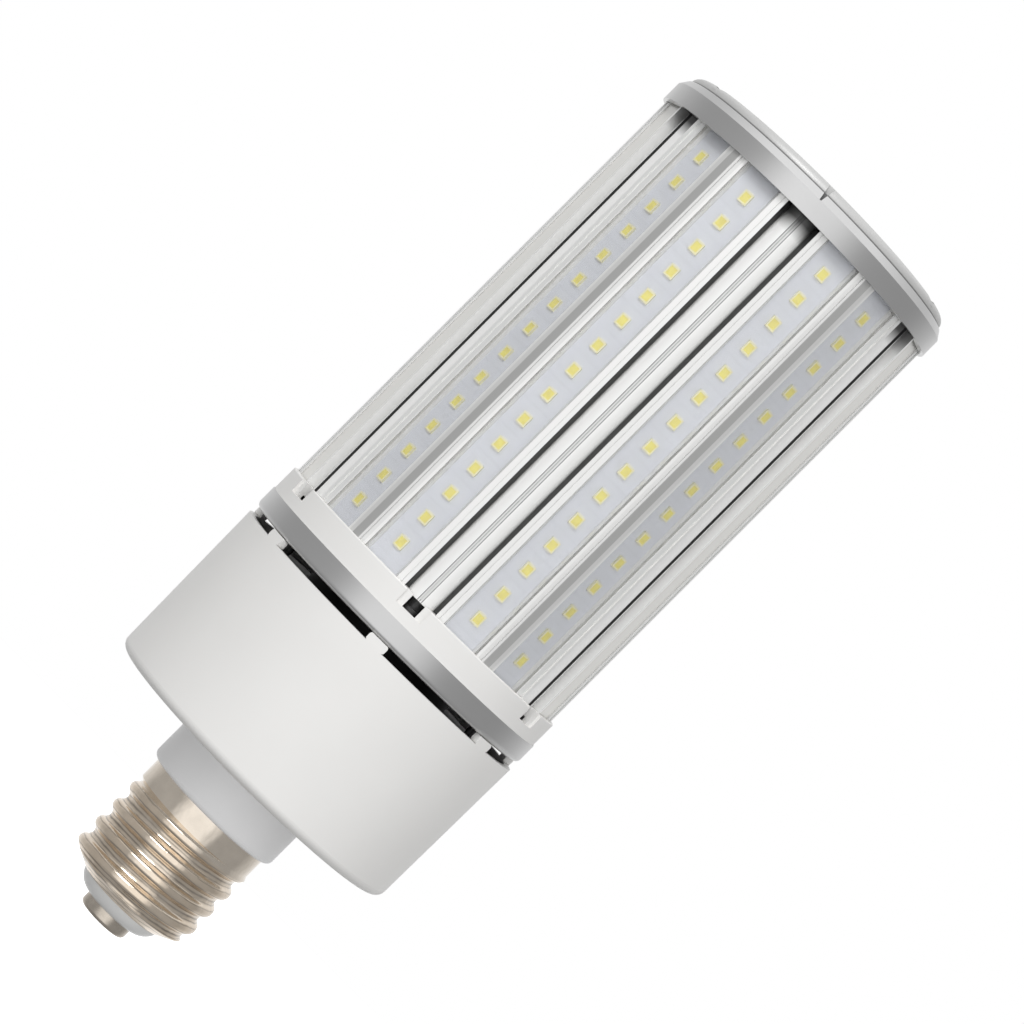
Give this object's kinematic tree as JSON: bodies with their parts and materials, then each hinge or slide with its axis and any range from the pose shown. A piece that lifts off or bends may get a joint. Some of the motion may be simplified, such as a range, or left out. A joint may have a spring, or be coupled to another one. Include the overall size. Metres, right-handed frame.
{
  "type": "led corn lamp",
  "caption": "Tall twelve-sided lamp with board strips round a slotted heat sink, silver end rings, a white driver housing with a vent gap, and a large screw base.",
  "frame": {"origin": "on the lamp's axis at the tip of the centre contact", "axes": "+Z along the lamp's axis from the base contact to the lid; -Y out of the front slot of the heat sink"},
  "size_m": [0.096, 0.096, 0.2664],
  "materials": {
    "contact_metal": "nickel-plated contact",
    "white_insulator": "glazed white",
    "nickel_shell": "bright nickel plate",
    "white_collar": "smooth white moulding",
    "white_housing": "fine satin white moulding",
    "driver_laminate": "green solder mask",
    "terminal_plastic": "moulded terminal body",
    "ferrite": "sintered ferrite",
    "winding_tape": "yellow winding tape",
    "capacitor_sleeve": "shrunk sleeve",
    "copper_winding": "enamelled copper wire",
    "black_plastic": "moulded black",
    "lead_insulation": "soft insulation",
    "silver_trim": "silver satin",
    "dark_screw": "black zinc",
    "white_crown": "fine satin white moulding",
    "sink_aluminium": "bright anodised, with extrusion lines",
    "led_board": "white solder mask on aluminium",
    "led_package": "yellow phosphor in a white body",
    "clear_cover": "clear sheet",
    "black_gasket": "black sheet",
    "lid_metal": "light silver satin"
  },
  "bodies": {
    "root": {"centre_contact": "contact_metal", "base_insulator": "white_insulator", "screw_shell": "nickel_shell", "base_collar": "white_collar", "driver_housing": "white_housing", "driver_board": "driver_laminate", "terminal_blocks": "terminal_plastic", "transformer_core": "ferrite", "transformer_bobbin": "winding_tape", "bulk_capacitors": "capacitor_sleeve", "line_choke": "copper_winding", "driver_cover": "black_plastic", "base_leads": "lead_insulation", "output_leads": "lead_insulation", "strip_leads": "lead_insulation", "lower_trim_ring": "silver_trim", "housing_screws": "dark_screw", "end_screws": "dark_screw", "lower_crown": "white_crown", "heat_sink": "sink_aluminium", "link_ring": "driver_laminate", "upper_gasket": "black_gasket", "cap_ring": "silver_trim", "top_lid": "lid_metal", "led_board_01": "led_board", "led_row_01": "led_package", "cover_strip_01": "clear_cover", "led_board_02": "led_board", "led_row_02": "led_package", "cover_strip_02": "clear_cover", "led_board_03": "led_board", "led_row_03": "led_package", "cover_strip_03": "clear_cover", "led_board_04": "led_board", "led_row_04": "led_package", "cover_strip_04": "clear_cover", "led_board_05": "led_board", "led_row_05": "led_package", "cover_strip_05": "clear_cover", "led_board_06": "led_board", "led_row_06": "led_package", "cover_strip_06": "clear_cover", "led_board_07": "led_board", "led_row_07": "led_package", "cover_strip_07": "clear_cover", "led_board_08": "led_board", "led_row_08": "led_package", "cover_strip_08": "clear_cover", "led_board_09": "led_board", "led_row_09": "led_package", "cover_strip_09": "clear_cover", "led_board_10": "led_board", "led_row_10": "led_package", "cover_strip_10": "clear_cover", "led_board_11": "led_board", "led_row_11": "led_package", "cover_strip_11": "clear_cover", "led_board_12": "led_board", "led_row_12": "led_package", "cover_strip_12": "clear_cover"}
  },
  "joints": []
}
